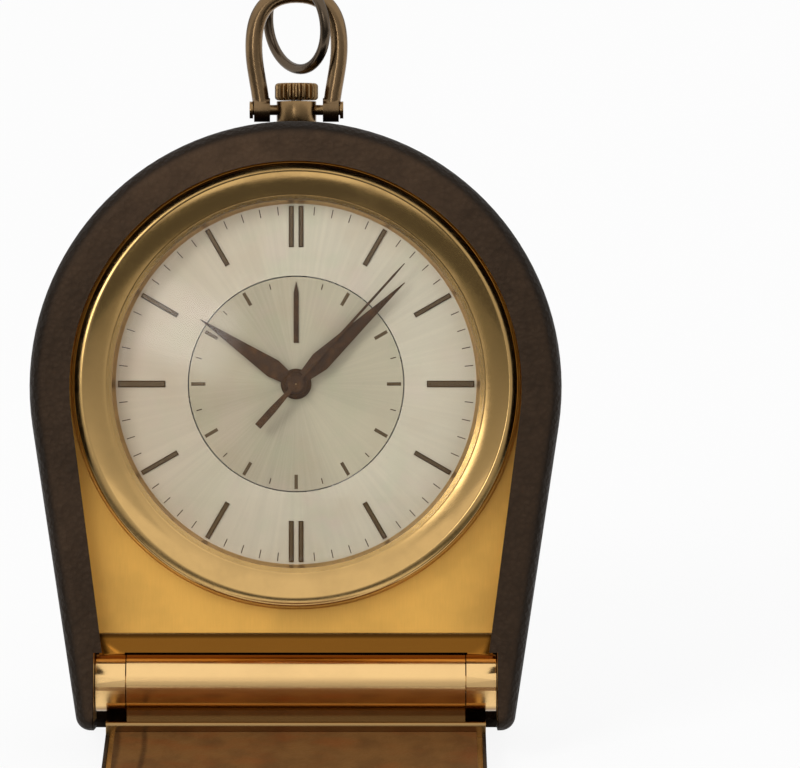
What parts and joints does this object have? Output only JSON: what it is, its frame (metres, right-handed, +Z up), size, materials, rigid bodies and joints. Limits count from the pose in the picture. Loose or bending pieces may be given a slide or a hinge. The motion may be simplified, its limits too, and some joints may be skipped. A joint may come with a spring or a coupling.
{
  "type": "travel clock",
  "caption": "Folding travel alarm clock: horseshoe leather case with round gilt bezel, hinged leather lid that serves as its stand, and a bow with a ring on top.",
  "frame": {"origin": "on the table, under the middle of the open clock's box", "axes": "+Z up, -Y to the front (the dial looks that way, leaning back), +X to the reader's right; the hinge lies along X"},
  "size_m": [0.0464, 0.0672, 0.0662],
  "materials": {
    "case_leather": "near-black brown calf leather, softly shining",
    "lid_leather": "the same dark leather on the lid",
    "lid_lining": "brown leather lining",
    "gilt_polished": "polished gilt brass",
    "gilt_plate": "finely brushed gilt brass",
    "gilt_satin": "satin gilt brass",
    "bail_gilt": "worn gilt wire, browned",
    "ring_gilt": "darkened gilt wire",
    "crystal": "clear domed acrylic crystal",
    "gasket": "thin black seal",
    "dial_silver": "silvered, sunburst brushed, aged cream",
    "dial_alarm": "silvered, sunburst brushed, aged cream",
    "marker": "applied batons, darkened",
    "hand_dark": "darkened gilt hands",
    "nickel": "nickel-plated movement plates",
    "wheel_brass": "plain brass wheels",
    "steel": "polished steel",
    "blued_steel": "blued spring steel"
  },
  "bodies": {
    "case": {"case_shell": "gilt_satin", "leather_wrap": "case_leather", "front_plate": "gilt_plate", "bezel": "gilt_polished", "crystal": "crystal", "crystal_gasket": "gasket", "rehaut_ring": "gilt_satin", "dial": "dial_silver", "hour_markers": "marker", "casing_ring": "nickel", "main_plate": "nickel", "train_bridge": "nickel", "balance_bridge": "nickel", "pallet_bridge": "nickel", "bridge_screws": "steel", "hairspring": "blued_steel", "click": "steel", "back_cover": "gilt_satin", "sound_post": "steel", "pendant_neck": "gilt_polished", "bail_pins": "gilt_polished", "case_hinge": "gilt_plate", "hinge_pin": "gilt_polished"},
    "alarm_disc": {"alarm_disc": "dial_alarm", "alarm_pointer": "hand_dark"},
    "hour_work": {"hour_wheel": "wheel_brass", "hour_hand": "hand_dark"},
    "minute_work": {"cannon_pinion": "steel", "minute_hand": "hand_dark", "centre_wheel": "wheel_brass"},
    "minute_wheel": {"minute_wheel": "wheel_brass"},
    "third_wheel": {"third_wheel": "wheel_brass"},
    "seconds_work": {"seconds_wheel": "wheel_brass", "seconds_hand": "hand_dark"},
    "escape_wheel": {"escape_wheel": "steel"},
    "pallet_fork": {"pallet_fork": "steel"},
    "balance": {"balance_wheel": "wheel_brass"},
    "going_barrel": {"going_barrel": "wheel_brass", "mainspring": "blued_steel"},
    "barrel_arbor": {"barrel_arbor": "steel", "ratchet_wheel": "steel"},
    "alarm_barrel": {"alarm_barrel": "wheel_brass", "alarm_spring": "blued_steel"},
    "alarm_star": {"alarm_star": "steel"},
    "alarm_hammer": {"alarm_hammer": "steel"},
    "alarm_key": {"alarm_key": "gilt_polished"},
    "alarm_setter": {"alarm_set_arbor": "steel", "alarm_set_knob": "gilt_polished"},
    "stop_button": {"stop_button": "gilt_polished"},
    "setting_lever": {"setting_lever": "steel"},
    "crown": {"crown": "gilt_polished", "winding_stem": "steel"},
    "bail": {"bail": "bail_gilt"},
    "ring": {"ring": "ring_gilt"},
    "lid": {"lid_hinge": "gilt_polished", "lid_frame": "gilt_satin", "lid_leather": "lid_leather", "lid_lining": "lid_lining"}
  },
  "joints": [
    {"name": "lid_hinge", "type": "hinge", "parent": "case", "child": "lid", "pos_m": [0, 0.01188, 0.00618], "axis": [1, 0, 0], "range_deg": [-102, 0]},
    {"name": "bail_swing", "type": "hinge", "parent": "case", "child": "bail", "pos_m": [0, 0.02568, 0.05461], "axis": [1, 0, 0], "range_deg": [-50, 60]},
    {"name": "ring_swing", "type": "hinge", "parent": "bail", "child": "ring", "pos_m": [0, 0.02779, 0.06454], "axis": [1, 0, 0], "range_deg": [-20, 25]},
    {"name": "crown_pull", "type": "slide", "parent": "case", "child": "setting_lever", "axis": [0, 0.2079, 0.9781], "range_m": [0, 0.0006]},
    {"name": "crown_turn", "type": "hinge", "parent": "setting_lever", "child": "crown", "pos_m": [0, 0.02585, 0.05544], "axis": [0, 0.2079, 0.9781], "continuous": true},
    {"name": "seconds_turn", "type": "hinge", "parent": "case", "child": "seconds_work", "pos_m": [0, 0.01803, 0.0316], "axis": [0, -0.9781, 0.2079], "continuous": true},
    {"name": "minute_turn", "type": "hinge", "parent": "case", "child": "minute_work", "pos_m": [0, 0.01803, 0.0316], "axis": [0, -0.9781, 0.2079], "continuous": true},
    {"name": "hour_turn", "type": "hinge", "parent": "case", "child": "hour_work", "pos_m": [0, 0.01803, 0.0316], "axis": [0, -0.9781, 0.2079], "continuous": true},
    {"name": "minute_wheel_turn", "type": "hinge", "parent": "case", "child": "minute_wheel", "pos_m": [-0.00301, 0.01927, 0.03022], "axis": [0, -0.9781, 0.2079], "continuous": true},
    {"name": "third_turn", "type": "hinge", "parent": "case", "child": "third_wheel", "pos_m": [0.00468, 0.02236, 0.02792], "axis": [0, -0.9781, 0.2079], "continuous": true},
    {"name": "escape_turn", "type": "hinge", "parent": "case", "child": "escape_wheel", "pos_m": [-0.00137, 0.02185, 0.02556], "axis": [0, -0.9781, 0.2079], "continuous": true},
    {"name": "pallet_rock", "type": "hinge", "parent": "case", "child": "pallet_fork", "pos_m": [-0.0037, 0.02078, 0.02385], "axis": [0, -0.9781, 0.2079], "range_deg": [-4, 4]},
    {"name": "balance_swing", "type": "hinge", "parent": "case", "child": "balance", "pos_m": [-0.0064, 0.02169, 0.02142], "axis": [0, -0.9781, 0.2079], "range_deg": [-130, 130], "stiffness_Nm_per_rad": 0.0000003},
    {"name": "barrel_turn", "type": "hinge", "parent": "case", "child": "going_barrel", "pos_m": [-0.00658, 0.02371, 0.03428], "axis": [0, -0.9781, 0.2079], "continuous": true},
    {"name": "ratchet_turn", "type": "hinge", "parent": "case", "child": "barrel_arbor", "pos_m": [-0.00658, 0.02664, 0.03366], "axis": [0, -0.9781, 0.2079], "continuous": true},
    {"name": "alarm_barrel_turn", "type": "hinge", "parent": "case", "child": "alarm_barrel", "pos_m": [0.0055, 0.02489, 0.03986], "axis": [0, -0.9781, 0.2079], "continuous": true},
    {"name": "alarm_star_turn", "type": "hinge", "parent": "case", "child": "alarm_star", "pos_m": [0.00871, 0.0241, 0.03611], "axis": [0, -0.9781, 0.2079], "continuous": true},
    {"name": "hammer_swing", "type": "hinge", "parent": "case", "child": "alarm_hammer", "pos_m": [0.0115, 0.02188, 0.02567], "axis": [0, -0.9781, 0.2079], "range_deg": [-2, 12], "stiffness_Nm_per_rad": 0.00005},
    {"name": "alarm_key_turn", "type": "hinge", "parent": "case", "child": "alarm_key", "pos_m": [0.0055, 0.03174, 0.0384], "axis": [0, -0.9781, 0.2079], "continuous": true},
    {"name": "alarm_disc_turn", "type": "hinge", "parent": "case", "child": "alarm_disc", "pos_m": [0, 0.01822, 0.03156], "axis": [0, -0.9781, 0.2079], "continuous": true},
    {"name": "alarm_set_turn", "type": "hinge", "parent": "case", "child": "alarm_setter", "pos_m": [0.00479, 0.02789, 0.0203], "axis": [0, -0.9781, 0.2079], "continuous": true},
    {"name": "stop_press", "type": "slide", "parent": "case", "child": "stop_button", "axis": [0, -0.9781, 0.2079], "range_m": [0, 0.0008], "stiffness_N_per_m": 150}
  ],
  "couplings": [
    {"joint": "minute_turn", "follows": "seconds_turn", "ratio": 0.016667},
    {"joint": "hour_turn", "follows": "seconds_turn", "ratio": 0.0013889},
    {"joint": "minute_wheel_turn", "follows": "seconds_turn", "ratio": -0.0055556},
    {"joint": "third_turn", "follows": "seconds_turn", "ratio": -0.125},
    {"joint": "escape_turn", "follows": "seconds_turn", "ratio": -10},
    {"joint": "barrel_turn", "follows": "seconds_turn", "ratio": -0.0025641},
    {"joint": "ratchet_turn", "follows": "crown_turn", "ratio": -0.6},
    {"joint": "alarm_star_turn", "follows": "alarm_barrel_turn", "ratio": -5.25},
    {"joint": "alarm_set_turn", "follows": "alarm_disc_turn", "ratio": -4}
  ]
}
